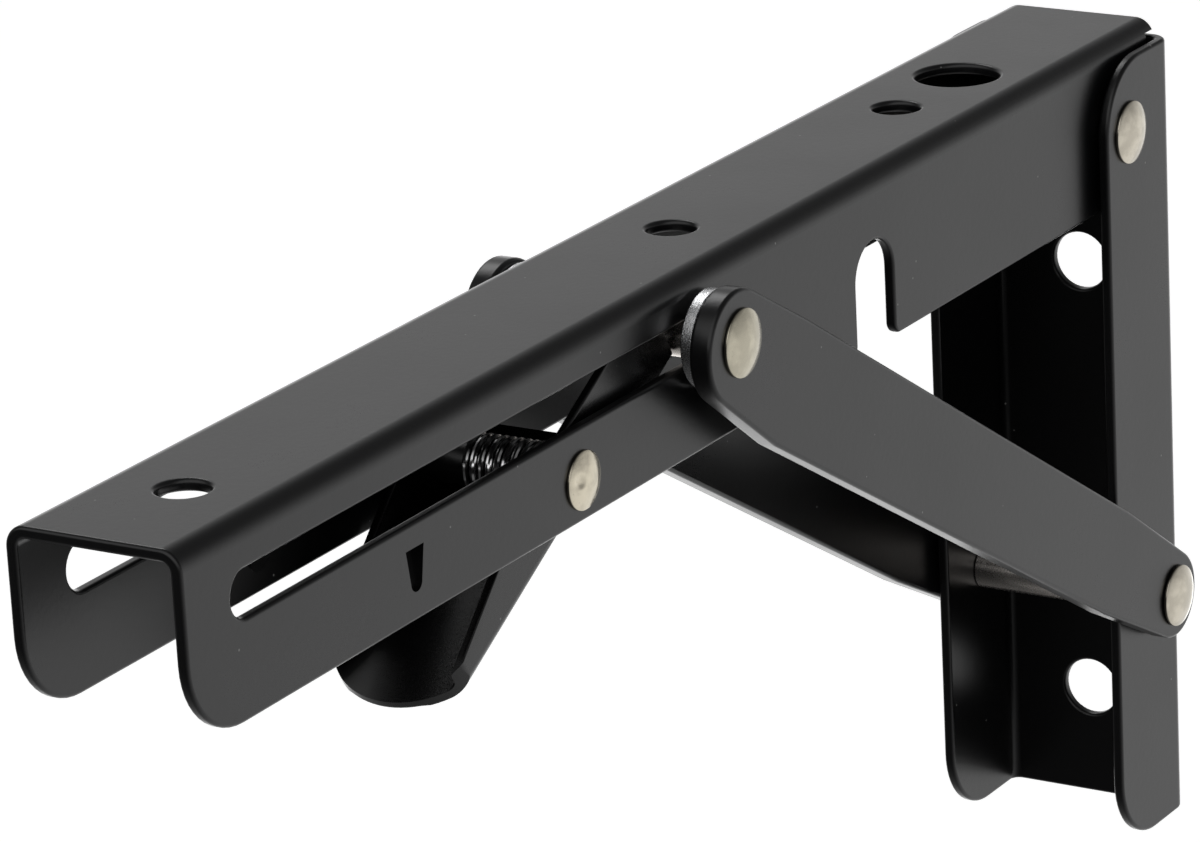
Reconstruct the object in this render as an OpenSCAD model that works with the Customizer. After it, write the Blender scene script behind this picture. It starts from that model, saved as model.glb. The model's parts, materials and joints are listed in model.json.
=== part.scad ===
// Folding bracket for a drop leaf table or shelf, standing open on a wall.
// X runs out from the wall, Y across the bracket and Z up. The origin lies on
// the wall face, midway between the two wall screw holes.

/* [Rail] */
// Length of the rail under the table leaf
rail_length = 300; // [270:1:330]
// Width of the rail across its two sides
rail_width = 30; // [28:0.5:31]
// Height of the rail's sides
rail_height = 29.6; // [29:0.1:32]
// Thickness of the folded rail sheet
rail_sheet = 2; // [1.5:0.1:2.2]
// Outer radius of the rail's two long bends
rail_bend = 3.5; // [3:0.5:5]
// Radius of the lower front corners
rail_corner = 12.5; // [8:0.5:14]
// Distance from the wall face to the rail's back end
rail_back_gap = 0.5; // [0.3:0.1:1]

/* [Rail holes] */
// Diameter of the three screw holes for the leaf
screw_hole_d = 8; // [5:0.5:9]
// Front screw hole, back from the rail's front end
front_hole_inset = 22.5; // [18:0.1:30]
// Rear screw hole, out from the rail's back end
rear_hole_inset = 67.2; // [62:0.1:75]
// Distance from the rear hole to the middle hole
rear_hole_spacing = 74.8; // [65:0.1:80]
// Diameter of the hole that lets a screwdriver through to the wall
driver_hole_d = 14.5; // [12:0.5:15]
// How far that hole stays short of the wall screw's own line
driver_hole_lead = 1.2; // [0:0.1:2]

/* [Wall channel] */
// Gap between the rail and each side of the channel
wall_side_gap = 1.2; // [1:0.1:2]
// Distance from the lower wall screw hole to the channel's lower end
wall_foot = 20.6; // [16:0.1:30]
// Distance from the rail's hinge to the channel's free edge
wall_ear = 8.5; // [6:0.1:10]
// Thickness of the channel sheet
wall_sheet = 2; // [1.6:0.1:2.2]
// Outer radius of the channel's two long bends
wall_bend = 3.5; // [2.5:0.5:4]
// Radius of the channel's free corners
wall_corner = 13; // [8:0.5:14]
// Diameter of the two wall screw holes
wall_hole_d = 10.5; // [6:0.5:11]
// Distance between the two wall screw holes
wall_hole_spacing = 82; // [80:0.5:84]
// Upper wall screw hole, down from the rail's top face
wall_hole_drop = 46; // [44:0.5:48]

/* [Folding hinge] */
// Gap between the folded rail and the back of the wall channel
fold_gap = 1.4; // [0.5:0.1:2]
// Rail hinge, down from the rail's top face
hinge_drop = 16; // [15.5:0.1:16.5]
// Diameter of the hinge rivet's shank
hinge_pin_d = 6; // [5:0.1:7]
// Outer diameter of the sleeve that keeps the rail's sides apart
hinge_sleeve_d = 10; // [9:0.5:12]
// Outer diameter of the washers between rail and wall channel
hinge_washer_d = 13; // [12:0.5:14]

/* [Brace arms] */
// Lower hinge of the arms, out from the wall
brace_out = 11.5; // [11:0.1:12]
// Slope of the arms when the bracket is open
brace_slope = 31.8; // [29:0.1:34]
// Thickness of an arm
brace_thickness = 3.9; // [3:0.1:4.5]
// Height of an arm above the line between its two hinges
brace_rise = 9.1; // [8.5:0.1:10]
// Depth of an arm below that line
brace_fall = 12; // [11:0.1:13]
// Radius of an arm's upper round end
brace_ear_r = 9.4; // [9:0.1:10.5]
// How far the upper round end sits below the hinge line
brace_ear_offset = 0.8; // [0:0.1:2]
// Radius of an arm's lower round end
brace_foot_r = 7.9; // [7:0.1:8]
// Where the lower edge bends in towards the foot
brace_heel_u = 26; // [20:1:30]
// Depth of the lower edge at that bend
brace_heel_v = 9.7; // [8.5:0.1:10.5]
// Diameter of the lower hinge rivet's shank
brace_pin_d = 6; // [5:0.1:7]
// Outer diameter of the sleeve across the wall channel
brace_sleeve_d = 8; // [7.5:0.1:8.6]

/* [Guide] */
// Centre line of the guide slots, down from the rail's top face
slot_drop = 11; // [10:0.1:12]
// Width of the guide slots
slot_width = 7.2; // [6.5:0.1:8]
// Middle of the slot's front end, back from the rail's front end
slot_front_inset = 15; // [12:0.1:25]
// Length of slot left over when the bracket is folded
slot_spare = 6.2; // [2:0.1:8]
// Outer diameter of the rings between rail and arms
guide_ring_d = 16; // [13:0.5:17]
// Thickness of those rings
guide_ring_t = 2.3; // [1.5:0.1:2.6]
// Diameter of the riveted ends of the guide axle
guide_neck_d = 5.2; // [4.5:0.1:6]

/* [Notch and pressed tongue] */
// Width of the notch that drops over the lower hinge
notch_width = 12.4; // [12:0.1:13]
// Top of the notch, down from the rail's top face
notch_drop = 11.5; // [10:0.5:13]
// How far the notch stays short of the lower hinge's own line
notch_lead = 0.6; // [0:0.1:1.3]
// Radius of the notch's lower corners
notch_corner = 2; // [1:0.1:3]
// Pressed tongue, back from the rail's front end
tongue_inset = 57.5; // [55:0.5:70]
// Top of the pressed tongue, down from the rail's top face
tongue_drop = 18.4; // [17.5:0.1:19]
// Width of the pressed tongue at its top
tongue_top_w = 4.8; // [4:0.1:6]
// Width of the pressed tongue at its foot
tongue_foot_w = 3; // [2:0.1:3.5]
// Height of the pressed tongue
tongue_height = 6.8; // [5:0.1:7]
// How far the tongue is pushed into the rail
tongue_push = 1.6; // [1:0.1:1.8]

/* [Release lever] */
// Lever hinge, out from the guide pins
lever_lead = 36; // [34:0.1:38]
// Lever hinge, up from the rail's lower edge
lever_rise = 6.6; // [6.2:0.1:7.2]
// Slope of the lever when it is locked
lever_slope = 28.4; // [27:0.1:29]
// Thickness of the lever sheet
lever_sheet = 1.5; // [1.2:0.1:1.8]
// Outer radius of the lever's bends
lever_bend = 2.5; // [2:0.1:3]
// Gap between the lever and the inside of the rail
lever_side_gap = 0.7; // [0.5:0.1:1]
// Distance from the lever hinge down to the lever's back
lever_back = 6.9; // [6.6:0.1:7.5]
// Distance from the lever hinge up to the lever's straight edge
lever_edge = 6.5; // [5.5:0.1:6.5]
// Distance from the lever hinge to the tip of its tab
lever_reach = 43.7; // [38:0.1:46]
// Radius of the round tab
lever_tab_r = 14.2; // [12:0.1:16]
// Where the straight edge starts to fall towards the tab
lever_fall_start = 9; // [6:0.5:14]
// Where that edge reaches the tab
lever_fall_end = 35.5; // [30:0.5:37]
// Height of the edge above the hinge line where it reaches the tab
lever_fall_level = -1.2; // [-3:0.1:1]
// Where the lever's back starts, behind the hinge
lever_web_start = 13; // [10:0.5:16]
// Radius of the nose's corners
nose_corner = 3.2; // [2.5:0.1:4]
// Diameter of the lever pin between the rail's sides
lever_pin_d = 7.2; // [6.5:0.1:7.6]
// Diameter of the lever pin's riveted ends
lever_neck_d = 5; // [4:0.1:5.5]

/* [Lever spring] */
// Thickness of the spring wire
spring_wire_d = 1.1; // [0.8:0.05:1.2]
// Outer diameter of the spring's coil
spring_coil_d = 10.1; // [10:0.05:10.3]
// Distance from one turn to the next
spring_pitch = 1.4; // [1.3:0.05:1.6]
// Full turns of the spring's coil
spring_turns = 10; // [8:1:11]
// Length of the leg that bears on the lever
spring_lever_leg = 16; // [8:0.5:20]
// Direction of the leg that bears on the rail, up from level
spring_rail_leg_slope = 45; // [42:1:48]

/* [Rivet heads] */
// Diameter of the heads at the three main hinges
rivet_head_d = 11.1; // [9:0.1:12]
// Height of those heads
rivet_head_h = 1.8; // [1.2:0.1:2.2]
// Diameter of the lever pin's heads
lever_head_d = 9.4; // [8:0.1:10]
// Height of those heads
lever_head_h = 1.5; // [1:0.1:1.6]
// Height of the upright rim under each dome
head_rim_h = 0.4; // [0.2:0.1:0.6]

/* [Clearances] */
// Gap round a pin in its hole
pin_gap = 0.05; // [0.02:0.01:0.08]
// Gap round a guide pin in its slot
slot_gap = 0.075; // [0.05:0.005:0.09]
// Gap between parts that slide past each other on a hinge
side_gap = 0.2; // [0.1:0.05:0.3]
// Gap between the arms and the sides of the wall channel
brace_side_gap = 0.6; // [0.4:0.1:1.2]
// Gap under the rail's back end where it stops on the wall channel
stop_gap = 0.8; // [0.1:0.1:1]
// Gap at the pivot where the linkage is opened, between a ring and the riveted end
open_gap = 0.3; // [0.2:0.05:0.4]
// Gap between the lever's nose and the guide pin that it locks
nose_gap = 0.3; // [0.1:0.1:0.5]
// Gap between the spring and what it bears on
spring_gap = 0.35; // [0.2:0.05:0.4]

/* [Hidden] */

$fn = 64;
// How far every cut runs past what it cuts
over = rail_sheet / 2;

// Heights, with zero midway between the wall screw holes
rail_top_z = wall_hole_spacing / 2 + wall_hole_drop;
rail_bottom_z = rail_top_z - rail_height;
wall_top_z = rail_top_z - rail_sheet - stop_gap;
wall_bottom_z = -wall_hole_spacing / 2 - wall_foot;
wall_length = wall_top_z - wall_bottom_z;
hinge_z = rail_top_z - hinge_drop;
slot_z = rail_top_z - slot_drop;
lever_z = rail_bottom_z + lever_rise;
notch_top_z = rail_top_z - notch_drop;
tongue_top_z = rail_top_z - tongue_drop;
tongue_low_z = tongue_top_z - tongue_height;

// The rail's hinge and round heel
heel_r = hinge_z - rail_bottom_z;
rail_side_x = wall_sheet + fold_gap;
hinge_out = rail_side_x + heel_r;
wall_depth = hinge_out + wall_ear;

// The arms' length: folded, they reach from the lower hinge to the slot's
// front end, and open, they rise at their slope to the slot's back end
rail_front_x = rail_back_gap + rail_length;
slot_end_x = rail_front_x - slot_front_inset;
folded_dx = hinge_out + slot_z - hinge_z - brace_out;
folded_reach = slot_end_x - slot_spare - hinge_out - hinge_z + slot_z;
brace_length = (sqrt(pow(folded_reach, 2) + pow(folded_dx * cos(brace_slope), 2))
    - folded_reach * sin(brace_slope)) / pow(cos(brace_slope), 2);
guide_out = brace_out + brace_length * cos(brace_slope);
brace_z = slot_z - brace_length * sin(brace_slope);

// Places along the rail
lever_out = guide_out + lever_lead;
front_hole_x = rail_front_x - front_hole_inset;
rear_hole_x = rail_back_gap + rear_hole_inset;
middle_hole_x = rear_hole_x + rear_hole_spacing;
driver_hole_x = hinge_out + hinge_z - wall_hole_spacing / 2 - driver_hole_lead;
notch_x = hinge_out + hinge_z - brace_z - notch_lead;
tongue_x = rail_front_x - tongue_inset;

// Half widths, from the middle plane outwards
rail_in_y = rail_width / 2 - rail_sheet;
rail_out_y = rail_width / 2;
wall_in_y = rail_out_y + wall_side_gap;
wall_out_y = wall_in_y + wall_sheet;
wall_width = 2 * wall_out_y;
brace_in_y = wall_out_y + brace_side_gap;
brace_out_y = brace_in_y + brace_thickness;
ring_out_y = brace_in_y - open_gap;
ring_in_y = ring_out_y - guide_ring_t;
lever_out_y = rail_in_y - lever_side_gap;
lever_in_y = lever_out_y - lever_sheet;

// The guide pin as the lever sees it, along and square to the lever's slope
nose_s = (guide_out - lever_out) * cos(lever_slope) - (slot_z - lever_z) * sin(lever_slope);
guide_pin_r = slot_width / 2 - slot_gap;
nose_end = nose_s + guide_pin_r + nose_gap;
tab_centre = lever_reach - lever_tab_r;

// The spring's wire and coil, with angles measured round the lever pin from
// +X towards +Z
steps_per_turn = 16;
leg_steps = 3;
wire_sides = 8;
wire_r = spring_wire_d / 2;
coil_r = spring_coil_d / 2 - wire_r;
leg_turn = spring_rail_leg_slope - lever_slope;
coil_first = -90 - lever_slope;
rail_leg_turn = coil_first - 360 * spring_turns - leg_turn;
coil_steps = ceil((coil_first - rail_leg_turn) / 360 * steps_per_turn);
coil_end_y = lever_in_y - spring_gap - wire_r;
coil_start_y = coil_end_y - spring_pitch * (coil_first - rail_leg_turn) / 360;
rail_leg_start_z = lever_z + coil_r * sin(rail_leg_turn);
rail_leg_length = (rail_top_z - rail_sheet - wire_r - spring_gap - rail_leg_start_z)
    / sin(spring_rail_leg_slope);

// The point where a line from an outside point touches a circle
function touch_point(centre, r, p, side) =
    let (d = p - centre, far = norm(d), a = atan2(d[1], d[0]) + side * acos(r / far))
    centre + r * [cos(a), sin(a)];

// A flat plate that stands on the middle plane's normal, from y up to y + t
module plate(y, t) {
    translate([0, y + t, 0])
        rotate([90, 0, 0])
            linear_extrude(t)
                children();
}

// A round bar along Y, centred on x and z, between two values of y
module bar(x, z, d, y_low, y_high) {
    translate([x, y_high, z])
        rotate([90, 0, 0])
            cylinder(d = d, h = y_high - y_low);
}

// A round bar with a hole through it
module tube(x, z, d, bore_d, y_low, y_high) {
    difference() {
        bar(x, z, d, y_low, y_high);
        bar(x, z, bore_d, y_low - over, y_high + over);
    }
}

// A low dome on an upright rim, rising from the plane z = 0
module dome(d, h, rim) {
    r = d / 2;
    crown = h - rim;
    ball_r = (r * r + crown * crown) / (2 * crown);
    cylinder(r = r, h = rim);
    intersection() {
        translate([0, 0, h - ball_r])
            sphere(r = ball_r);
        cylinder(r = r, h = h);
    }
}

// A rivet head on the plane y, facing +Y
module head(x, z, y, d, h) {
    translate([x, y, z])
        rotate([-90, 0, 0])
            dome(d, h, head_rim_h);
}

// The section of a folded channel, open downwards, its back along the X axis
module channel_blank(width, depth, bend) {
    translate([-width / 2, -depth])
        square([width, depth - bend]);
    translate([-width / 2 + bend, -bend - over])
        square([width - 2 * bend, bend + over]);
    for (side = [-1, 1])
        translate([side * (width / 2 - bend), -bend])
            circle(r = bend);
}

module channel_section(width, depth, sheet, bend) {
    difference() {
        channel_blank(width, depth, bend);
        translate([0, -sheet])
            channel_blank(width - 2 * sheet, depth, bend - sheet);
    }
}

// What rounding takes off a square corner, with the corner at the origin and
// the material above and to the right of it
module corner_outline(r) {
    difference() {
        translate([-over, -over])
            square([r + over, r + over]);
        translate([r, r])
            circle(r = r);
    }
}

module corner_waste(r, y_half) {
    plate(-y_half, 2 * y_half)
        corner_outline(r);
}

// A slot along X with round ends, in the plane of the rail's side
module slot_outline(x_low, x_high, z, width) {
    translate([x_low, z - width / 2])
        square([x_high - x_low, width]);
    for (x = [x_low, x_high])
        translate([x, z])
            circle(d = width);
}

module notch_half() {
    notch_r = notch_width / 2;
    depth = notch_top_z - rail_bottom_z;
    translate([0, -over])
        square([notch_r, depth - notch_r + over]);
    translate([0, depth - notch_r])
        circle(r = notch_r);
    translate([notch_r, 0])
        corner_outline(notch_corner);
}

module notch_outline() {
    translate([notch_x, rail_bottom_z]) {
        notch_half();
        mirror([1, 0])
            notch_half();
    }
}

// The pressed tongue, seen from the side of the rail
module tongue_outline(extra) {
    foot_r = tongue_foot_w / 2;
    polygon([
        [tongue_x - tongue_top_w / 2 - extra, tongue_top_z + extra],
        [tongue_x + tongue_top_w / 2 + extra, tongue_top_z + extra],
        [tongue_x + foot_r + extra, tongue_low_z + foot_r],
        [tongue_x - foot_r - extra, tongue_low_z + foot_r]
    ]);
    translate([tongue_x, tongue_low_z + foot_r])
        circle(r = foot_r + extra);
}

// The hollow that the tongue leaves in the side's outer face, and the bulge
// that it makes inside, both on the +Y side
module tongue_hollow() {
    shallow = rail_out_y - rail_sheet / 2;
    deep = shallow - tongue_push;
    intersection() {
        plate(rail_in_y - tongue_push, rail_sheet + tongue_push + over)
            tongue_outline(0);
        translate([rail_front_x, 0, 0])
            rotate([0, -90, 0])
                linear_extrude(rail_length)
                    polygon([
                        [tongue_low_z, shallow],
                        [tongue_top_z, deep],
                        [tongue_top_z + over, deep],
                        [tongue_top_z + over, rail_out_y + over],
                        [tongue_low_z, rail_out_y + over]
                    ]);
    }
}

module tongue_bulge() {
    wall = rail_sheet / 2;
    intersection() {
        plate(rail_in_y - tongue_push, tongue_push + wall)
            tongue_outline(wall);
        translate([rail_front_x, 0, 0])
            rotate([0, -90, 0])
                linear_extrude(rail_length)
                    polygon([
                        [tongue_low_z - wall, rail_in_y + wall],
                        [tongue_low_z - wall, rail_in_y],
                        [tongue_top_z, rail_in_y - tongue_push],
                        [tongue_top_z + wall, rail_in_y - tongue_push],
                        [tongue_top_z + wall, rail_in_y + wall]
                    ]);
    }
}

module both_sides() {
    children();
    mirror([0, 1, 0])
        children();
}

module wall_channel() {
    color([0.09, 0.09, 0.1])
        difference() {
            translate([0, 0, wall_bottom_z])
                linear_extrude(wall_length)
                    rotate(90)
                        channel_section(wall_width, wall_depth, wall_sheet, wall_bend);
            translate([wall_depth, 0, wall_bottom_z])
                mirror([1, 0, 0])
                    corner_waste(wall_corner, wall_width);
            translate([wall_depth, 0, wall_top_z])
                mirror([1, 0, 0])
                    mirror([0, 0, 1])
                        corner_waste(wall_corner, wall_width);
            for (side = [-1, 1])
                translate([-over, 0, side * wall_hole_spacing / 2])
                    rotate([0, 90, 0])
                        cylinder(d = wall_hole_d, h = wall_sheet + 2 * over);
            bar(hinge_out, hinge_z, hinge_pin_d + 2 * pin_gap, -wall_width, wall_width);
            bar(brace_out, brace_z, brace_pin_d + 2 * pin_gap, -wall_width, wall_width);
        }
}

module rail_blank() {
    translate([rail_back_gap, 0, rail_top_z])
        rotate([90, 0, 90])
            linear_extrude(rail_length)
                channel_section(rail_width, rail_height, rail_sheet, rail_bend);
}

module top_rail() {
    color([0.09, 0.09, 0.1])
        difference() {
            union() {
                rail_blank();
                both_sides()
                    tongue_bulge();
            }
            translate([rail_front_x, 0, rail_bottom_z])
                mirror([1, 0, 0])
                    corner_waste(rail_corner, rail_width);
            translate([rail_side_x, 0, rail_bottom_z])
                corner_waste(heel_r, rail_width);
            translate([rail_back_gap - over, -rail_width, rail_bottom_z - over])
                cube([rail_side_x - rail_back_gap + over, 2 * rail_width,
                    rail_height - rail_sheet + over]);
            for (x = [front_hole_x, middle_hole_x, rear_hole_x])
                translate([x, 0, rail_top_z - rail_sheet - over])
                    cylinder(d = screw_hole_d, h = rail_sheet + 2 * over);
            translate([driver_hole_x, 0, rail_top_z - rail_sheet - over])
                cylinder(d = driver_hole_d, h = rail_sheet + 2 * over);
            plate(-rail_width, 2 * rail_width) {
                slot_outline(guide_out, slot_end_x, slot_z, slot_width);
                notch_outline();
            }
            bar(hinge_out, hinge_z, hinge_pin_d + 2 * pin_gap, -rail_width, rail_width);
            bar(lever_out, lever_z, lever_neck_d + 2 * pin_gap, -rail_width, rail_width);
            both_sides()
                tongue_hollow();
        }
}

// The arm's outline with the lower hinge at the origin and the upper one on +X
module brace_outline() {
    foot = [0, 0];
    ear = [brace_length, -brace_ear_offset];
    upper_mid = [brace_length - 2 * brace_ear_r, brace_rise];
    upper_low = [brace_heel_u, brace_rise];
    lower_low = [brace_heel_u, -brace_heel_v];
    lower_mid = [brace_length - 2 * brace_ear_r, -brace_fall];
    circle(r = brace_foot_r);
    translate(ear)
        circle(r = brace_ear_r);
    polygon([
        foot,
        touch_point(foot, brace_foot_r, lower_low, -1),
        lower_low,
        lower_mid,
        touch_point(ear, brace_ear_r, lower_mid, 1),
        ear,
        touch_point(ear, brace_ear_r, upper_mid, -1),
        upper_mid,
        upper_low,
        touch_point(foot, brace_foot_r, upper_low, 1)
    ]);
}

module brace_arm() {
    difference() {
        plate(brace_in_y, brace_thickness)
            translate([brace_out, brace_z])
                rotate(brace_slope)
                    brace_outline();
        bar(brace_out, brace_z, brace_pin_d + 2 * pin_gap, brace_in_y - over, brace_out_y + over);
        bar(guide_out, slot_z, guide_neck_d + 2 * pin_gap, brace_in_y - over, brace_out_y + over);
    }
}

module brace_arm_right() {
    color([0.1, 0.1, 0.11])
        brace_arm();
}

module brace_arm_left() {
    color([0.1, 0.1, 0.11])
        mirror([0, 1, 0])
            brace_arm();
}

module hinge_pin() {
    color([0.75, 0.73, 0.68]) {
        bar(hinge_out, hinge_z, hinge_pin_d, -wall_out_y, wall_out_y);
        both_sides()
            head(hinge_out, hinge_z, wall_out_y, rivet_head_d, rivet_head_h);
    }
}

module hinge_sleeve() {
    color([0.7, 0.7, 0.7])
        tube(hinge_out, hinge_z, hinge_sleeve_d, hinge_pin_d + 2 * pin_gap,
            side_gap - rail_in_y, rail_in_y - side_gap);
}

module hinge_washer() {
    tube(hinge_out, hinge_z, hinge_washer_d, hinge_pin_d + 2 * pin_gap,
        rail_out_y + side_gap, wall_in_y);
}

module hinge_washer_right() {
    color([0.7, 0.7, 0.7])
        hinge_washer();
}

module hinge_washer_left() {
    color([0.7, 0.7, 0.7])
        mirror([0, 1, 0])
            hinge_washer();
}

module brace_pin() {
    grip = brace_out_y + side_gap;
    color([0.75, 0.73, 0.68]) {
        bar(brace_out, brace_z, brace_pin_d, -grip, grip);
        both_sides()
            head(brace_out, brace_z, grip, rivet_head_d, rivet_head_h);
    }
}

module brace_sleeve() {
    color([0.75, 0.75, 0.75])
        tube(brace_out, brace_z, brace_sleeve_d, brace_pin_d + 2 * pin_gap, -wall_in_y, wall_in_y);
}

// Half of the guide axle: the part in the slot and the neck that holds the ring
module guide_pin() {
    bar(guide_out, slot_z, 2 * guide_pin_r, rail_in_y - side_gap, ring_in_y);
    bar(guide_out, slot_z, guide_neck_d, ring_in_y - over, ring_out_y);
}

module guide_pin_right() {
    color([0.75, 0.75, 0.75])
        guide_pin();
}

module guide_pin_left() {
    color([0.75, 0.75, 0.75])
        mirror([0, 1, 0])
            guide_pin();
}

module guide_ring() {
    tube(guide_out, slot_z, guide_ring_d, guide_neck_d + 2 * pin_gap, ring_in_y, ring_out_y);
}

module guide_ring_right() {
    color([0.8, 0.8, 0.8])
        guide_ring();
}

module guide_ring_left() {
    color([0.8, 0.8, 0.8])
        mirror([0, 1, 0])
            guide_ring();
}

// The riveted end of the guide axle, in the arm's upper hole
module arm_rivet() {
    bar(guide_out, slot_z, guide_neck_d, brace_in_y, brace_out_y);
    head(guide_out, slot_z, brace_out_y, rivet_head_d, rivet_head_h);
}

module arm_rivet_right() {
    color([0.75, 0.73, 0.68])
        arm_rivet();
}

module arm_rivet_left() {
    color([0.75, 0.73, 0.68])
        mirror([0, 1, 0])
            arm_rivet();
}

// Places what is drawn along the lever's slope, with the lever hinge at the origin
module on_lever() {
    translate([lever_out, 0, lever_z])
        rotate([0, lever_slope, 0])
            children();
}

// The lever's side, from the nose on the left to the tab on the right
module lever_side_outline() {
    difference() {
        polygon([
            [nose_end, -lever_back],
            [lever_reach + over, -lever_back],
            [lever_reach + over, lever_sheet - lever_back],
            [lever_fall_end, lever_fall_level],
            [lever_fall_start, lever_edge],
            [nose_end, lever_edge]
        ]);
        translate([nose_end, lever_edge])
            mirror([0, 1])
                corner_outline(nose_corner);
    }
}

module lever_tab_outline() {
    translate([nose_end - over, -lever_out_y])
        square([tab_centre - nose_end + over, 2 * lever_out_y]);
    translate([tab_centre, 0])
        circle(r = lever_tab_r);
}

module release_lever() {
    span = lever_reach + lever_web_start;
    depth = lever_back + lever_edge;
    color([0.07, 0.07, 0.08])
        on_lever()
            difference() {
                intersection() {
                    union() {
                        translate([-lever_web_start, 0, -lever_back])
                            rotate([90, 0, 90])
                                linear_extrude(span)
                                    mirror([0, 1])
                                        channel_section(2 * lever_out_y, depth, lever_sheet, lever_bend);
                        both_sides()
                            translate([nose_end, lever_in_y, -lever_back])
                                cube([-lever_web_start - nose_end, lever_sheet, depth]);
                    }
                    plate(-rail_width, 2 * rail_width)
                        lever_side_outline();
                    translate([0, 0, -lever_back - over])
                        linear_extrude(depth + 2 * over)
                            lever_tab_outline();
                }
                bar(0, 0, lever_pin_d + 2 * pin_gap, -rail_width, rail_width);
            }
}

module lever_pin() {
    color([0.75, 0.73, 0.68]) {
        bar(lever_out, lever_z, lever_pin_d, -rail_in_y, rail_in_y);
        bar(lever_out, lever_z, lever_neck_d, -rail_out_y, rail_out_y);
        both_sides()
            head(lever_out, lever_z, rail_out_y, lever_head_d, lever_head_h);
    }
}

// The spring's wire: a leg along the lever's back, the coil round the lever
// pin, and a leg up to the underside of the rail
function coil_point(a, y) = [lever_out + coil_r * cos(a), y, lever_z + coil_r * sin(a)];
function coil_way(a) = [sin(a), 0, -cos(a)];

// Each entry is a place on the wire and the wire's direction there
wire_path = [
    for (i = [0 : leg_steps - 1])
        [coil_point(coil_first, coil_start_y)
            - coil_way(coil_first) * spring_lever_leg * (1 - i / leg_steps), coil_way(coil_first)],
    for (i = [0 : coil_steps])
        let (part = i / coil_steps, a = coil_first + (rail_leg_turn - coil_first) * part)
        [coil_point(a, coil_start_y + (coil_end_y - coil_start_y) * part), coil_way(a)],
    for (i = [1 : leg_steps])
        [coil_point(rail_leg_turn, coil_end_y)
            + coil_way(rail_leg_turn) * rail_leg_length * i / leg_steps, coil_way(rail_leg_turn)]
];

module wire(path, r, sides) {
    rings = len(path);
    points = [
        for (entry = path)
            let (place = entry[0], way = entry[1], out = cross(way, [0, 1, 0]))
            for (k = [0 : sides - 1])
                place + r * (cos(360 * k / sides) * out + [0, sin(360 * k / sides), 0])
    ];
    sides_faces = [
        for (i = [0 : rings - 2], k = [0 : sides - 1])
            let (next = (k + 1) % sides)
            [i * sides + k, i * sides + next, (i + 1) * sides + next, (i + 1) * sides + k]
    ];
    ends = [
        [for (k = [sides - 1 : -1 : 0]) k],
        [for (k = [0 : sides - 1]) (rings - 1) * sides + k]
    ];
    polyhedron(points = points, faces = concat(sides_faces, ends));
}

module lever_spring() {
    color([0.85, 0.85, 0.85])
        wire(wire_path, wire_r, wire_sides);
}

wall_channel();
top_rail();
brace_arm_left();
brace_arm_right();
hinge_pin();
hinge_sleeve();
hinge_washer_left();
hinge_washer_right();
brace_pin();
brace_sleeve();
guide_pin_left();
guide_pin_right();
guide_ring_left();
guide_ring_right();
arm_rivet_left();
arm_rivet_right();
release_lever();
lever_pin();
lever_spring();
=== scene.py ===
"""The folding leaf bracket, dressed for its picture: black powder coat, nickel
rivets, zinc rings and a bright spring, on a pale floor in soft light."""

import json
import math

import bmesh
import bpy
from mathutils import Matrix, Vector


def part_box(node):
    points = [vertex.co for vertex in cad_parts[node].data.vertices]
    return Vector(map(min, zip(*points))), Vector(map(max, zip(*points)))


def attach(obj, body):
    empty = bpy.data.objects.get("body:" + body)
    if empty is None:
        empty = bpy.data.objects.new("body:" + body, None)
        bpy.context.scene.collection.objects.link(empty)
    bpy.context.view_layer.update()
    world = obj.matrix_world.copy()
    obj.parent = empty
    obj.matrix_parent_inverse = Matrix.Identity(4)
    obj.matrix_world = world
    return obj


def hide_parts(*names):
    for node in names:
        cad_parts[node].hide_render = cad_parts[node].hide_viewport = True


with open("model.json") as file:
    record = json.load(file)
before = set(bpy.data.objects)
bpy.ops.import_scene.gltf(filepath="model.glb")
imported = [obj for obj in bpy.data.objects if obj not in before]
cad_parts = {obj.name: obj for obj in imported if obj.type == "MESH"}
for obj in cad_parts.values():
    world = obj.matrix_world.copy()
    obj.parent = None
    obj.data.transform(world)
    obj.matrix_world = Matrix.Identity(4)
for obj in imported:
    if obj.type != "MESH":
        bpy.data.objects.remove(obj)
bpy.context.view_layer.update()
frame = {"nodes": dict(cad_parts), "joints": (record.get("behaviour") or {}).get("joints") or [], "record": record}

MM = 0.001
MERGE = 0.001 * MM
SIDES = (("right", 1), ("left", -1))


# Places on the bracket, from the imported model

JOINTS = {joint["name"]: joint for joint in frame["joints"]}
HINGE = Vector(JOINTS["rail_fold"]["pos_m"])
BRACE = Vector(JOINTS["arm_fold"]["pos_m"])
LEVER = Vector(JOINTS["lever_press"]["pos_m"])


def middle(node):
    low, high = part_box(node)
    return (low + high) / 2


def half_width(node):
    """How far a node reaches from the middle plane."""
    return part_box(node)[1].y


def inner_width(node):
    """How near to the middle plane a node on the right side comes."""
    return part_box(node)[0].y


def half_length(node):
    """The radius of a node that is round about a line along Y."""
    low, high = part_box(node)
    return (high.x - low.x) / 2


GUIDE = middle("guide_ring_right") * Vector((1, 0, 1))
WALL_OUT = half_width("wall_channel")
ARM_OUT = half_width("brace_arm_right")
RAIL_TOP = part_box("top_rail")[1].z


# Shader maths


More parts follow.
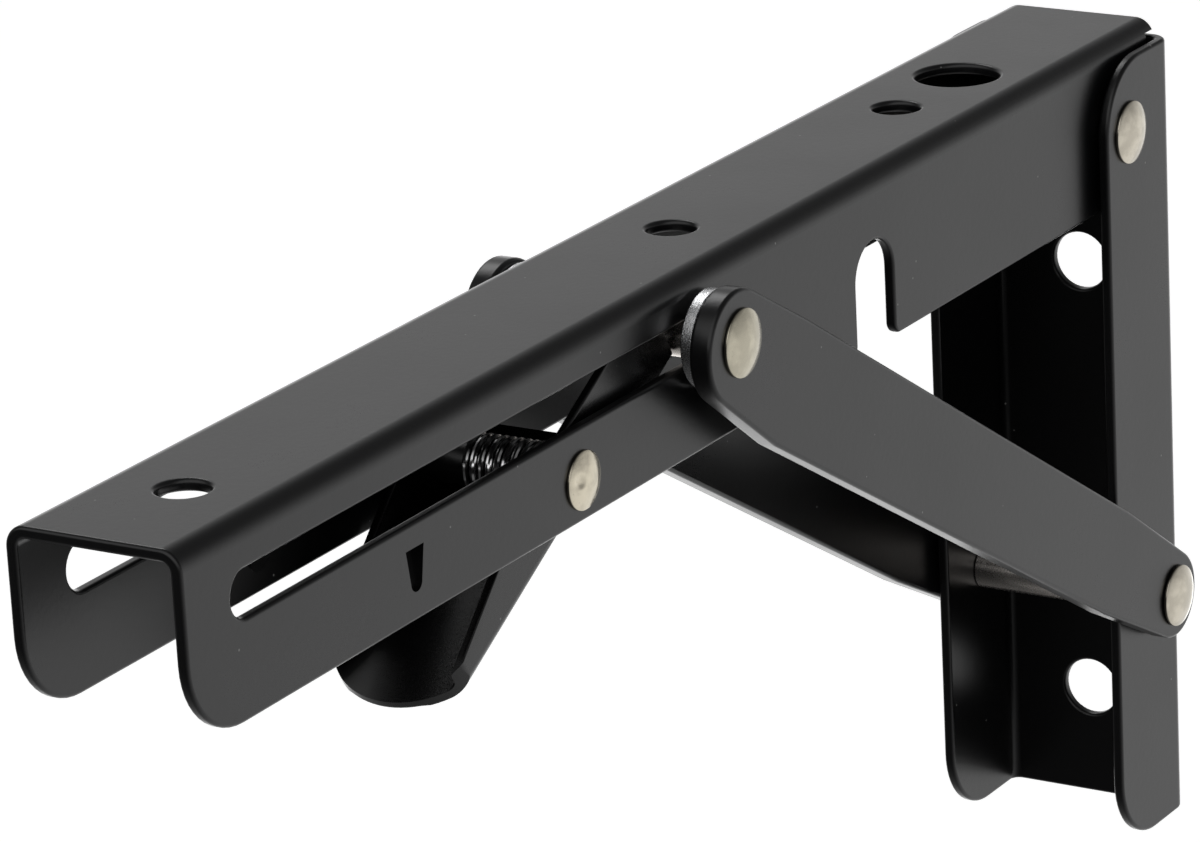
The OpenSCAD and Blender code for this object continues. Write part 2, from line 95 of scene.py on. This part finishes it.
class Value:
    """A shader socket that Python's operators work on."""

    def __init__(self, finish, socket):
        self.finish = finish
        self.socket = socket

    def _math(self, operation, first, second):
        return self.finish.node(
            "ShaderNodeMath", {"operation": operation}, {0: first, 1: second}
        )

    def __add__(self, other):
        return self._math("ADD", self, other)

    def __radd__(self, other):
        return self._math("ADD", other, self)

    def __sub__(self, other):
        return self._math("SUBTRACT", self, other)

    def __rsub__(self, other):
        return self._math("SUBTRACT", other, self)

    def __mul__(self, other):
        return self._math("MULTIPLY", self, other)

    def above(self, level):
        """One where this value is over a level, and nought elsewhere."""
        return self._math("GREATER_THAN", self, level)

    def swing(self, reach):
        """A value around a half, made a swing around nought."""
        return (self - 0.5) * reach

    def ramp(self, low, high, start=0.0, end=1.0):
        """A smooth step from start to end as this value goes from low to high."""
        return self.finish.node(
            "ShaderNodeMapRange",
            {"interpolation_type": "SMOOTHSTEP", "clamp": True},
            {"Value": self, "From Min": low, "From Max": high, "To Min": start, "To Max": end},
        )


class Finish:
    """One material, or the world, with the nodes that make its look."""

    def __init__(self, owner):
        self.owner = owner
        owner.use_nodes = True
        self.tree = owner.node_tree
        self.tree.nodes.clear()

    def node(self, kind, settings=None, values=None, out=0):
        """A new node's output, or the node itself where it has none."""
        made = self.tree.nodes.new(kind)
        for key, value in (settings or {}).items():
            setattr(made, key, value)
        for key, value in (values or {}).items():
            if isinstance(value, Value):
                self.tree.links.new(value.socket, made.inputs[key])
            else:
                made.inputs[key].default_value = value
        return Value(self, made.outputs[out]) if made.outputs else made

    def place(self, scale=(1, 1, 1)):
        """Object coordinates in millimetres, stretched by a scale."""
        here = self.node("ShaderNodeTexCoord", out="Object")
        spread = tuple(part / MM for part in scale)
        return self.node(
            "ShaderNodeMapping", {"vector_type": "POINT"}, {"Vector": here, "Scale": spread}
        )

    def split(self, vector):
        """The three parts of a vector."""
        parts = self.node("ShaderNodeSeparateXYZ", values={"Vector": vector})
        made = parts.socket.node
        return [Value(self, made.outputs[axis]) for axis in range(3)]

    def noise(self, vector, scale, detail=2.0, roughness=0.5):
        """Noise with that many lumps in a millimetre, around a half."""
        return self.node(
            "ShaderNodeTexNoise",
            {"noise_dimensions": "3D"},
            {"Vector": vector, "Scale": scale, "Detail": detail, "Roughness": roughness},
        )

    def cells(self, vector, scale):
        """Distance to the nearest of scattered points, in cells."""
        return self.node(
            "ShaderNodeTexVoronoi", {"feature": "F1"}, {"Vector": vector, "Scale": scale}
        )

    def blend(self, share, first, second):
        """A colour between two others."""
        return self.node(
            "ShaderNodeMix", {"data_type": "RGBA"}, {0: share, 6: first, 7: second}, out=2
        )

    def bump(self, height, depth, under=None):
        """Normals from a height between 0 and 1 that stands for depth millimetres."""
        values = {"Height": height, "Strength": 1.0, "Distance": depth * MM}
        if under is not None:
            values["Normal"] = under
        return self.node("ShaderNodeBump", values=values)

    def shader(self, **values):
        """The surface itself, with the sockets that the finish gives."""
        named = {key.replace("_", " "): value for key, value in values.items()}
        shader = self.node("ShaderNodeBsdfPrincipled", values=named)
        self.node("ShaderNodeOutputMaterial", values={"Surface": shader})
        return self.owner


def material(name):
    return Finish(bpy.data.materials.new(name))


def opaque(colour, share=1.0):
    """A share of a colour, with full alpha."""
    return tuple(share * part for part in colour) + (1.0,)


# Finishes. Lumps and cells are counted in a millimetre, and depths are millimetres.

PEEL_LUMPS, PEEL_DEPTH = 0.9, 0.012
GRAIN_LUMPS, GRAIN_DEPTH = 5.5, 0.004
GRAIN_FADE, GRAIN_DARK, GRAIN_LIGHT = (0.35, 0.75), 0.82, 1.25
GRAIN_GLOSS, PATCH_GLOSS, PATCH_LUMPS = 0.08, 0.1, 0.035
SPECK_CELLS, SPECK_REACH, SPECK_FADE = 0.24, 0.055, (0.0, 0.02)
DUSTY_LUMPS, DUSTY_ABOVE = 0.05, 0.53
DUST_COLOUR, DUST_COVER, DUST_GLOSS = (0.42, 0.42, 0.41), 0.55, 0.3
COAT_IOR = 1.5

TOOL_STRETCH, TOOL_LUMPS, TOOL_DEPTH, TOOL_GLOSS = (0.7, 0.7, 5.0), 1.1, 0.01, 0.14
CLOUD_LUMPS, CLOUD_DEPTH, CLOUD_FADE, CLOUD_DARK = 0.35, 0.06, (0.35, 0.65), 0.8
PIT_CELLS, PIT_REACH, PIT_FADE, PIT_GLOSS = 1.6, 0.16, (0.0, 0.05), 0.2
PIT_COLOUR, PIT_COVER = (0.12, 0.11, 0.1), 0.6
PITTED_LUMPS, PITTED_ABOVE = 7.0, 0.55
NICKEL_ROUGH = 0.16

CUT_STRETCH, CUT_LUMPS, CUT_DEPTH = (1.0, 4.0, 1.0), 1.5, 0.03
GRIT_LUMPS, GRIT_DEPTH, GRIT_FADE, GRIT_GLOSS = 3.2, 0.09, (0.35, 0.7), 0.15
ZINC_ROUGH = 0.27

LINE_STRETCH, LINE_LUMPS, LINE_DEPTH = (0.8, 6.0, 0.8), 1.4, 0.008
LINE_FADE, LINE_GLOSS, LINE_TONE = (0.3, 0.7), 0.08, (0.72, 0.72, 0.73)
WIRE_ROUGH = 0.12


def powder_coat(name, colour, roughness):
    """Satin black powder: orange peel, a fine grain, and a few specks of dust."""
    coat = material(name)
    at = coat.place()
    peel = coat.noise(at, PEEL_LUMPS, detail=1.0)
    grain = coat.noise(at, GRAIN_LUMPS, roughness=0.6)
    patches = coat.noise(at, PATCH_LUMPS, detail=3.0)
    dust = (SPECK_REACH - coat.cells(at, SPECK_CELLS)).ramp(*SPECK_FADE)
    dust = dust * coat.noise(at, DUSTY_LUMPS).above(DUSTY_ABOVE)
    shade = coat.blend(
        grain.ramp(*GRAIN_FADE), opaque(colour, GRAIN_DARK), opaque(colour, GRAIN_LIGHT)
    )
    shade = coat.blend(dust * DUST_COVER, shade, opaque(DUST_COLOUR))
    rough = roughness + patches.swing(PATCH_GLOSS) + grain.swing(GRAIN_GLOSS)
    relief = coat.bump(grain, GRAIN_DEPTH, coat.bump(peel, PEEL_DEPTH))
    return coat.shader(
        Base_Color=shade, Roughness=rough + dust * DUST_GLOSS, Normal=relief, IOR=COAT_IOR
    )


def nickel(name, marked, colour):
    """Nickel on pressed rivets: warm, softly marked by the tool, with small pits."""
    plate = material(name)
    at = plate.place()
    marks = plate.noise(plate.place(TOOL_STRETCH), TOOL_LUMPS, detail=4.0, roughness=0.65)
    cloud = plate.noise(at, CLOUD_LUMPS)
    pitted = plate.noise(at, PITTED_LUMPS).above(PITTED_ABOVE)
    pits = (PIT_REACH - plate.cells(at, PIT_CELLS)).ramp(*PIT_FADE) * pitted
    tone = plate.blend(cloud.ramp(*CLOUD_FADE), opaque(colour, CLOUD_DARK), opaque(colour))
    tone = plate.blend(pits * PIT_COVER, tone, opaque(PIT_COLOUR))
    rough = NICKEL_ROUGH + marks.swing(TOOL_GLOSS) + pits * PIT_GLOSS
    relief = plate.bump(marks, TOOL_DEPTH * marked, plate.bump(cloud, CLOUD_DEPTH * marked))
    return plate.shader(Base_Color=tone, Metallic=1.0, Roughness=rough, Normal=relief)


def zinc(name, cut, dull, bright):
    """Bright zinc on turned rings and sleeves, with the marks of the cutter."""
    plate = material(name)
    marks = plate.noise(plate.place(CUT_STRETCH), CUT_LUMPS, detail=3.0, roughness=0.7)
    grit = plate.noise(plate.place(), GRIT_LUMPS, detail=3.0, roughness=0.7)
    tone = plate.blend(grit.ramp(*GRIT_FADE), opaque(dull), opaque(bright))
    rough = ZINC_ROUGH + grit.swing(GRIT_GLOSS)
    relief = plate.bump(grit, GRIT_DEPTH * cut, plate.bump(marks, CUT_DEPTH * cut))
    return plate.shader(Base_Color=tone, Metallic=1.0, Roughness=rough, Normal=relief)


def spring_steel():
    """Drawn wire, bright with fine lines."""
    wire = material("spring_wire")
    lines = wire.noise(wire.place(LINE_STRETCH), LINE_LUMPS, detail=3.0)
    tone = wire.blend(lines.ramp(*LINE_FADE), opaque(LINE_TONE), opaque((1, 1, 1)))
    rough = WIRE_ROUGH + lines.swing(LINE_GLOSS)
    relief = wire.bump(lines, LINE_DEPTH)
    return wire.shader(Base_Color=tone, Metallic=1.0, Roughness=rough, Normal=relief)


BLACK = powder_coat("black_powder_coat", (0.005, 0.005, 0.0055), 0.3)
BLACK_LEVER = powder_coat("black_powder_coat_lever", (0.0035, 0.0035, 0.0038), 0.28)
NICKEL = nickel("nickel_plate", 0.5, (0.66, 0.61, 0.51))
NICKEL_ARM = nickel("nickel_plate_arm", 0.8, (0.58, 0.54, 0.43))
NICKEL_LEVER = nickel("nickel_plate_lever", 1.2, (0.7, 0.64, 0.51))
ZINC = zinc("zinc_plate", 0.02, (0.86, 0.8, 0.75), (0.94, 0.89, 0.84))
ZINC_CUT = zinc("zinc_plate_cut", 0.7, (0.66, 0.67, 0.69), (0.95, 0.95, 0.95))
WIRE = spring_steel()


# Making pieces

CREASE_ANGLE = math.radians(32)
SHARP_ANGLE = math.radians(40)
FLAT_ANGLE = math.radians(0.3)
RIM_SLACK = 0.08 * MM
TURN_STEPS = 96


def linked(name, data):
    """A new object in the scene, at the origin."""
    made = bpy.data.objects.new(name, data)
    bpy.context.scene.collection.objects.link(made)
    return made


def piece(name, work, finish, body, stands_for):
    """An object from a bmesh, with soft shading up to an angle, on its body."""
    mesh = bpy.data.meshes.new(name)
    for face in work.faces:
        face.smooth = True
    for edge in work.edges:
        edge.smooth = len(edge.link_faces) == 2 and edge.calc_face_angle(0) < CREASE_ANGLE
    work.to_mesh(mesh)
    work.free()
    made = linked(name, mesh)
    mesh.materials.append(finish)
    weighted = made.modifiers.new("even_shading", "WEIGHTED_NORMAL")
    weighted.keep_sharp = True
    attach(made, body)
    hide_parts(*stands_for)
    return made


def bevel(work, edges, width, segments):
    bmesh.ops.bevel(
        work, geom=edges, offset=width, offset_type="OFFSET", segments=segments,
        profile=0.5, affect="EDGES", clamp_overlap=False, material=-1,
    )


def sharp_edges(work, tight):
    """Edges to soften, but for those in tight spots."""
    def is_free(edge):
        here = (edge.verts[0].co + edge.verts[1].co) / (2 * MM)
        return not any(x0 < here.x < x1 and z0 < here.z < z1 for x0, x1, z0, z1 in tight)

    inner = [edge for edge in work.edges if len(edge.link_faces) == 2]
    return [e for e in inner if e.calc_face_angle(0) > SHARP_ANGLE and is_free(e)]


def sheet_copy(node):
    """A merged copy of a CAD node, with its flat faces whole again."""
    work = bmesh.new()
    work.from_mesh(frame["nodes"][node].data)
    bmesh.ops.remove_doubles(work, verts=work.verts, dist=MERGE)
    bmesh.ops.dissolve_limit(
        work, angle_limit=FLAT_ANGLE, use_dissolve_boundaries=False,
        verts=work.verts, edges=work.edges,
    )
    return work


def rim_edges(work, centre, radius, height):
    """The edges of a hole's rim on a level face."""
    def on_rim(vert):
        away = (Vector((vert.co.x, vert.co.y)) - centre).length
        return abs(vert.co.z - height) < RIM_SLACK and abs(away - radius) < RIM_SLACK

    return [e for e in work.edges if on_rim(e.verts[0]) and on_rim(e.verts[1])]


def turned(outline, place, steps=TURN_STEPS):
    """A shape turned about a line along Y, from pairs of radius and y."""
    work = bmesh.new()
    points = [work.verts.new((radius, y, 0)) for radius, y in outline]
    lines = [work.edges.new(pair) for pair in zip(points, points[1:])]
    bmesh.ops.spin(
        work, geom=points + lines, cent=(0, 0, 0), axis=(0, 1, 0),
        angle=math.tau, steps=steps, use_merge=True,
    )
    bmesh.ops.remove_doubles(work, verts=work.verts, dist=MERGE)
    bmesh.ops.recalc_face_normals(work, faces=work.faces)
    bmesh.ops.translate(work, verts=work.verts, vec=(place.x, 0, place.z))
    return work


def mirrored(outline):
    """An outline and its mirror image, from the left end to the right end."""
    return [(radius, -y) for radius, y in reversed(outline)] + outline


def arc(centre, radius, start, end, steps):
    """Points on an arc, with angles in degrees."""
    turns = [math.radians(start + (end - start) * i / steps) for i in range(steps + 1)]
    return [(centre[0] + radius * math.cos(a), centre[1] + radius * math.sin(a)) for a in turns]


# The sheet pieces. A tight spot is a range of x and one of z, in millimetres, where
# the edges lie too near to each other to be softened.

EDGE_SOFT = 0.65 * MM
ARM_EDGE_SOFT = 0.7 * MM
LEVER_EDGE_SOFT = 0.5 * MM
EDGE_STEPS = 5
RIM_ROLL = 0.75 * MM
RIM_STEPS = 4
DRIVER_HOLE_R = 7.25 * MM
RAIL_TIGHT = [(222, 264, 58.2, 72), (-1, 5, 80, 88)]
LEVER_TIGHT = [(176, 187, 56, 70), (222, 233, 38, 49)]


def rail_holes():
    """Centre and radius of each round hole in the rail's top."""
    for mount in frame["record"]["mounts"]:
        if mount["name"].startswith("leaf_screw"):
            yield Vector(mount["pos_m"][:2]), mount["dims"]["r_mm"] * MM
    for opening in frame["record"]["physics"]["openings"]:
        if opening["name"] == "driver_hole":
            low, high = opening["box_m"]
            yield Vector(((low[0] + high[0]) / 2, 0)), DRIVER_HOLE_R


def make_rail():
    work = sheet_copy("top_rail")
    rims = []
    for centre, radius in rail_holes():
        rims += rim_edges(work, centre, radius, RAIL_TOP)
    bevel(work, rims, RIM_ROLL, RIM_STEPS)
    bevel(work, sharp_edges(work, RAIL_TIGHT), EDGE_SOFT, EDGE_STEPS)
    piece("rail_body", work, BLACK, "rail", ["top_rail"])


def make_sheet(name, node, body, finish, width, tight=()):
    work = sheet_copy(node)
    bevel(work, sharp_edges(work, tight), width, EDGE_STEPS)
    piece(name, work, finish, body, [node])


make_rail()
make_sheet("wall_body", "wall_channel", "wall", BLACK, EDGE_SOFT)
make_sheet("arm_left_body", "brace_arm_left", "arms", BLACK, ARM_EDGE_SOFT)
make_sheet("arm_right_body", "brace_arm_right", "arms", BLACK, ARM_EDGE_SOFT)
make_sheet("lever_body", "release_lever", "lever", BLACK_LEVER,
           LEVER_EDGE_SOFT, LEVER_TIGHT)


# The rivets. A head's rounding is a share of the height of its edge.

HEAD_R = 5.55 * MM
HEAD_HIGH = 1.8 * MM
HEAD_EDGE = 0.55 * MM
HEAD_ROUNDING = 0.3
ROUNDING_STEPS = 3
DOME_STEPS = 14
HINGE_SHANK_R = 3.0 * MM
ARM_SHANK_R = 2.6 * MM
LEVER_HEAD_R = 4.7 * MM
LEVER_HEAD_HIGH = 1.5 * MM
LEVER_HEAD_EDGE = 0.5 * MM
LEVER_SHANK_R = 2.5 * MM
LEVER_BARREL_R = 3.6 * MM
LEVER_SHANK_LONG = 2.0 * MM
LEVER_STEPS = 128
DENT_SHIFT = Vector((2.3 * MM, 0, 0.5 * MM))
DENT_R = 1.5 * MM
DENT_DEPTH = 0.45 * MM
DENT_FROM = 0.6 * MM


def head_outline(radius, height, face, edge):
    """A rivet head that stands on the plane y = face, from its foot to its top."""
    crown = height - edge
    soft = edge * HEAD_ROUNDING
    inner = radius - soft
    ball = (inner * inner + crown * crown) / (2 * crown)
    lean = math.degrees(math.asin(inner / ball))
    foot = arc((inner, face + soft), soft, -90, 0, ROUNDING_STEPS)
    lip = arc((inner, face + edge * (1 - HEAD_ROUNDING)), soft, 0, 90 - lean, ROUNDING_STEPS)
    dome = arc((0, face + height - ball), ball, 90 - lean, 90, DOME_STEPS)
    return foot + lip + dome[1:]


def make_hinge_rivets():
    """The two rivets on the wall channel, with a head at both ends."""
    brace_face = half_width("brace_pin") - HEAD_HIGH
    for name, node, place, face in (("hinge_rivet", "hinge_pin", HINGE, WALL_OUT),
                                    ("brace_rivet", "brace_pin", BRACE, brace_face)):
        head = head_outline(HEAD_R, HEAD_HIGH, face, HEAD_EDGE)
        work = turned(mirrored([(HINGE_SHANK_R, face)] + head), place)
        piece(name, work, NICKEL, "wall", [node])


def make_arm_rivets():
    inside = inner_width("brace_arm_right")
    outline = [(0, inside), (ARM_SHANK_R, inside), (ARM_SHANK_R, ARM_OUT)]
    outline += head_outline(HEAD_R, HEAD_HIGH, ARM_OUT, HEAD_EDGE)
    for side, sign in SIDES:
        work = turned([(radius, sign * y) for radius, y in outline], GUIDE)
        piece("arm_rivet_" + side + "_body", work, NICKEL_ARM, "arms",
              ["arm_rivet_" + side])


def make_lever_rivet():
    """A shouldered rivet with a tool's dent in each head, and its barrel in the black coat as painted shade inside
    the rail.
    """
    head_foot = half_width("lever_pin") - LEVER_HEAD_HIGH
    shoulder = head_foot - LEVER_SHANK_LONG
    shank = [(LEVER_BARREL_R, shoulder), (LEVER_SHANK_R, shoulder), (LEVER_SHANK_R, head_foot)]
    head = head_outline(LEVER_HEAD_R, LEVER_HEAD_HIGH, head_foot, LEVER_HEAD_EDGE)
    work = turned(mirrored(shank + head), LEVER, LEVER_STEPS)
    dent = LEVER + DENT_SHIFT
    for vert in work.verts:
        away = Vector((vert.co.x - dent.x, vert.co.z - dent.z)).length
        if away < DENT_R and abs(vert.co.y) > head_foot + DENT_FROM:
            depth = DENT_DEPTH * (1 - (away / DENT_R) ** 2) ** 2
            vert.co.y -= math.copysign(depth, vert.co.y)
    rivet = piece("lever_rivet", work, NICKEL_LEVER, "rail", ["lever_pin"])
    # The barrel between the shoulders takes the black coat: painted shade for the shadow inside the rail around
    # the spring, not the rivet's own nickel.
    rivet.data.materials.append(BLACK)
    for face in rivet.data.polygons:
        if abs(face.center.y) < shoulder:
            face.material_index = 1


make_hinge_rivets()
make_arm_rivets()
make_lever_rivet()


# Rings, sleeves, washers and the guide axle

GUIDE_BORE = 2.65 * MM
HINGE_BORE = 3.05 * MM
CHAMFER = 0.2 * MM
RING_CHAMFER = 0.3 * MM


def tube_outline(bore, radius, low, high, chamfer):
    """A closed ring's section, from its bore round to the bore again."""
    return [
        (bore, low + chamfer), (bore + chamfer, low), (radius - chamfer, low),
        (radius, low + chamfer), (radius, high - chamfer), (radius - chamfer, high),
        (bore + chamfer, high), (bore, high - chamfer), (bore, low + chamfer),
    ]


def make_tube(node, place, body, bore, finish, chamfer=CHAMFER):
    low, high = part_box(node)
    outline = tube_outline(bore, half_length(node), low.y, high.y, chamfer)
    piece(node + "_body", turned(outline, place), finish, body, [node])


def make_guide():
    """The guide's rings, and its axle as one rod across both slots."""
    for side, _ in SIDES:
        make_tube("guide_ring_" + side, GUIDE, "guide", GUIDE_BORE, ZINC_CUT,
                  chamfer=RING_CHAMFER)
    journal = half_length("guide_pin_right")
    shoulder = inner_width("guide_ring_right")
    end = half_width("guide_ring_right")
    outline = [(journal, shoulder - CHAMFER), (journal - CHAMFER, shoulder),
               (ARM_SHANK_R, shoulder), (ARM_SHANK_R, end), (0, end)]
    piece("guide_axle", turned(mirrored(outline), GUIDE), ZINC, "guide",
          ["guide_pin_left", "guide_pin_right"])


make_guide()
make_tube("hinge_sleeve", HINGE, "wall", HINGE_BORE, ZINC)
make_tube("brace_sleeve", BRACE, "wall", HINGE_BORE, ZINC)
for side, _ in SIDES:
    make_tube("hinge_washer_" + side, HINGE, "wall", HINGE_BORE, BLACK)


# The lever's spring, with slopes in degrees

WIRE_R = 0.55 * MM
COIL_R = 5.05 * MM - WIRE_R
PITCH = 1.4 * MM
TURNS = 10
LEVER_SLOPE = 28.4
RAIL_LEG_SLOPE = 45.0
LEVER_LEG = 16.0 * MM
STEPS_A_TURN = 40
WIRE_MERGE = 0.0001 * MM


def spring_path():
    """The wire's middle line: a leg on the lever, the coil, a leg up to the rail."""
    first = math.radians(-90 - LEVER_SLOPE)
    turn = math.tau * TURNS + math.radians(RAIL_LEG_SLOPE - LEVER_SLOPE)
    start_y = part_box("lever_spring")[0].y + WIRE_R
    steps = round(STEPS_A_TURN * turn / math.tau)

    def on_coil(angle, y):
        return Vector((LEVER.x + COIL_R * math.cos(angle), y, LEVER.z + COIL_R * math.sin(angle)))

    def along(angle):
        return Vector((math.sin(angle), 0, -math.cos(angle)))

    last = first - turn
    end_y = start_y + PITCH * turn / math.tau
    start, end = on_coil(first, start_y), on_coil(last, end_y)
    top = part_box("lever_spring")[1].z - WIRE_R * math.cos(math.radians(RAIL_LEG_SLOPE))
    rail_leg = (top - end.z) / along(last).z
    path = [start - along(first) * LEVER_LEG]
    path += [on_coil(first - turn * i / steps, start_y + (end_y - start_y) * i / steps)
             for i in range(steps + 1)]
    path.append(end + along(last) * rail_leg)
    return path


def make_spring():
    """The wire as a bevelled curve, made a mesh."""
    curve = bpy.data.curves.new("spring_line", "CURVE")
    curve.dimensions = "3D"
    curve.bevel_depth = WIRE_R
    curve.bevel_resolution = 3
    curve.use_fill_caps = True
    line = curve.splines.new("POLY")
    path = spring_path()
    line.points.add(len(path) - 1)
    for point, place in zip(line.points, path):
        point.co = (*place, 1)
    holder = linked("spring_line", curve)
    shape = holder.evaluated_get(bpy.context.evaluated_depsgraph_get())
    work = bmesh.new()
    work.from_mesh(shape.to_mesh())
    bpy.data.objects.remove(holder)
    bmesh.ops.remove_doubles(work, verts=work.verts, dist=WIRE_MERGE)
    piece("spring_wire_body", work, WIRE, "lever", ["lever_spring"])


make_spring()


# Floor, light and camera. Each ramp of the world's light gives two values of a
# direction's part, and then the light at each of them, where it isn't 0 and 1.

FLOOR_Z = -0.26
FLOOR_REACH = 6.0
FLOOR_LUMPS, FLOOR_ROUGH, FLOOR_GLOW = 0.02, 0.9, 0.62
FLOOR_DARK, FLOOR_LIGHT = (0.86, 0.86, 0.86), (0.88, 0.88, 0.88)

LOW_LIGHT = (-0.25, 0.5, 1.0, 0.12)
BEHIND_WAY, BEHIND_LIGHT = (-0.9, 0.3, 0), (-0.95, 0.9, 0.0, 0.88)
FRONT_LEAST, FRONT_PART, FRONT_LIGHT = 0.03, (0.1, 0.7), (0.0, 0.35, 0.0, 0.9)
GLOW_WAY, GLOW_LIGHT = (-0.81, -0.49, -0.31), (0.86, 0.97, 0.0, 0.9)
FAR_PART, FAR_LIGHT = (0.0, 0.6), (0.0, 0.6, 0.0, 0.34)

LAMP_AT, LAMP_AIM = Vector((-0.62, -1.0, 1.5)), Vector((0.1, 0, 0))
LAMP_SIZE, LAMP_POWER = (0.8, 0.6), 5

CAMERA_AT = Vector((0.93539, 0.48207, 0.36608))
CAMERA_AIM = Vector((0.16672, 0.0, 0.06216))
CAMERA_ROLL = -2.97
CAMERA_LENS = 183.08


def make_floor():
    paint = material("floor_paint")
    grain = paint.noise(paint.place(), FLOOR_LUMPS)
    tone = paint.blend(grain, opaque(FLOOR_DARK), opaque(FLOOR_LIGHT))
    finish = paint.shader(Base_Color=tone, Roughness=FLOOR_ROUGH,
                          Emission_Color=opaque((1, 1, 1)), Emission_Strength=FLOOR_GLOW)
    work = bmesh.new()
    bmesh.ops.create_grid(work, x_segments=1, y_segments=1, size=FLOOR_REACH)
    bmesh.ops.translate(work, verts=work.verts, vec=(0, 0, FLOOR_Z))
    mesh = bpy.data.meshes.new("floor")
    work.to_mesh(mesh)
    work.free()
    floor = linked("floor", mesh)
    mesh.materials.append(finish)
    floor.visible_glossy = False
    floor.visible_diffuse = False


def make_world():
    """White low down behind the bracket and dark in front, with a patch high up in
    front, a glow straight ahead of the camera, and a soft fill on the far side."""
    world = bpy.data.worlds.new("studio")
    bpy.context.scene.world = world
    studio = Finish(world)
    x, y, z = studio.split(studio.node("ShaderNodeTexCoord", out="Generated"))

    def toward(way):
        return x * way[0] + y * way[1] + z * way[2]

    behind = z.ramp(*LOW_LIGHT) * toward(BEHIND_WAY).ramp(*BEHIND_LIGHT)
    front = FRONT_LEAST + x.ramp(*FRONT_PART) * z.ramp(*FRONT_LIGHT)
    glow = toward(GLOW_WAY).ramp(*GLOW_LIGHT)
    far = (0 - x).ramp(*FAR_PART) * (0 - y).ramp(*FAR_LIGHT)
    level = behind + front + glow + far
    backdrop = studio.node(
        "ShaderNodeBackground", values={"Color": opaque((1, 1, 1)), "Strength": level}
    )
    studio.node("ShaderNodeOutputWorld", values={"Surface": backdrop})


def make_lamp():
    lamp = bpy.data.lights.new("overhead", "AREA")
    lamp.shape = "RECTANGLE"
    lamp.size, lamp.size_y = LAMP_SIZE
    lamp.energy = LAMP_POWER
    holder = linked("overhead", lamp)
    holder.location = LAMP_AT
    holder.rotation_euler = (LAMP_AIM - LAMP_AT).to_track_quat("-Z", "Y").to_euler()


def make_camera():
    lens = bpy.data.cameras.new("camera")
    lens.sensor_width = 36.0
    lens.sensor_fit = "HORIZONTAL"
    lens.lens = CAMERA_LENS
    lens.dof.use_dof = False
    holder = linked("camera", lens)
    turn = (CAMERA_AIM - CAMERA_AT).to_track_quat("-Z", "Y").to_matrix()
    roll = Matrix.Rotation(math.radians(CAMERA_ROLL), 3, "Z")
    holder.rotation_euler = (turn @ roll).to_euler()
    holder.location = CAMERA_AT
    bpy.context.scene.camera = holder


make_floor()
make_world()
make_lamp()
make_camera()
bpy.context.scene.view_settings.view_transform = "Standard"
